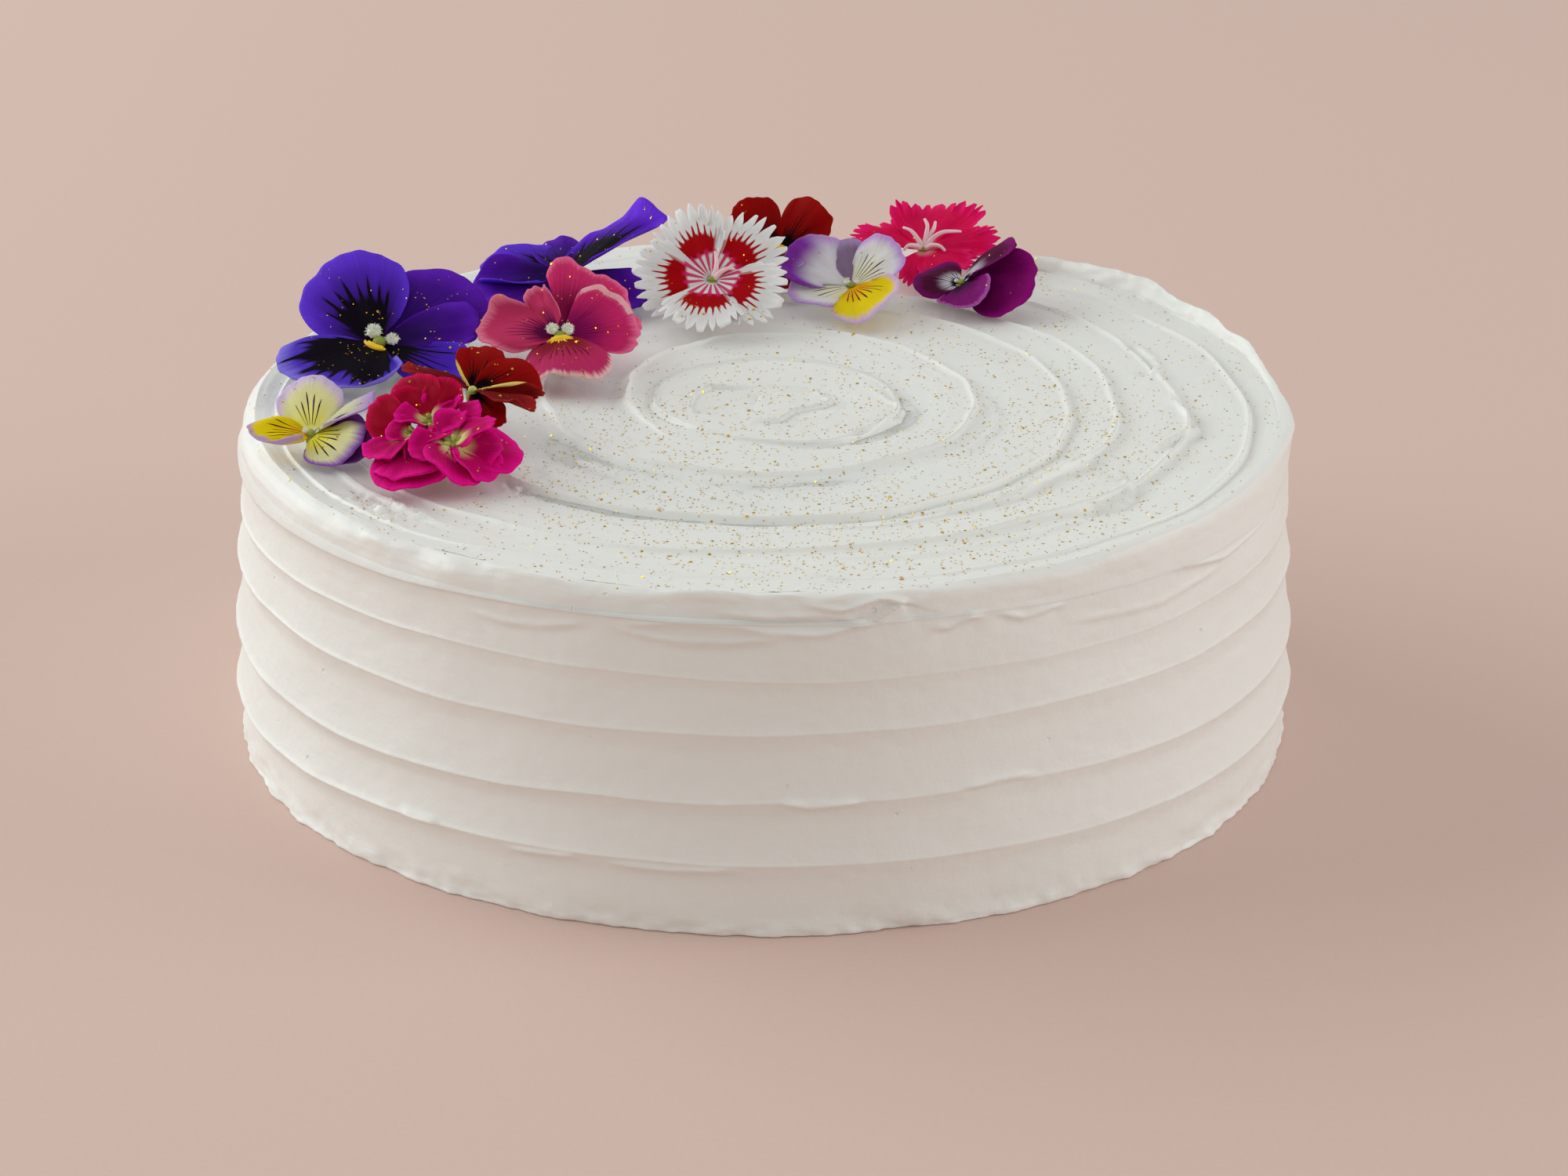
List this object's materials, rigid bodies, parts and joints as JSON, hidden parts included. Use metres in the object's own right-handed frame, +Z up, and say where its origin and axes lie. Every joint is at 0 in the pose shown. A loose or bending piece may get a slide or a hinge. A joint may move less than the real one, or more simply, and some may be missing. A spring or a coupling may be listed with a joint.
{
  "type": "layer cake",
  "caption": "Tall round layer cake, iced white with ringed sides and a spiral-swept top, dressed with fresh edible flowers along its left and back and a dusting of gold glitter.",
  "frame": {"origin": "centre of the cake's flat underside", "axes": "+Z up, +X to the cake's right and +Y to its back; the flowers lie along the left and the back of the top"},
  "size_m": [0.2164, 0.2164, 0.0891],
  "materials": {
    "white_icing": "satin, soft whipped icing",
    "violet_blue_petals": "velvety fresh petal",
    "yellow_petals": "fresh petal",
    "magenta_petals": "fresh petal",
    "dark_red_petals": "velvety fresh petal",
    "rose_petals": "fresh petal",
    "white_petals": "fresh petal",
    "lilac_petals": "fresh petal",
    "crimson_petals": "fresh petal",
    "purple_petals": "velvety fresh petal"
  },
  "bodies": {
    "root": {"iced_cake": "white_icing", "blue_pansy_front": "violet_blue_petals", "yellow_viola": "yellow_petals", "stock_cluster": "magenta_petals", "red_viola_left": "dark_red_petals", "pink_pansy": "rose_petals", "blue_pansy_rear": "violet_blue_petals", "white_dianthus": "white_petals", "red_viola_rear": "dark_red_petals", "lilac_viola": "lilac_petals", "crimson_dianthus": "crimson_petals", "purple_viola": "purple_petals"}
  },
  "joints": []
}
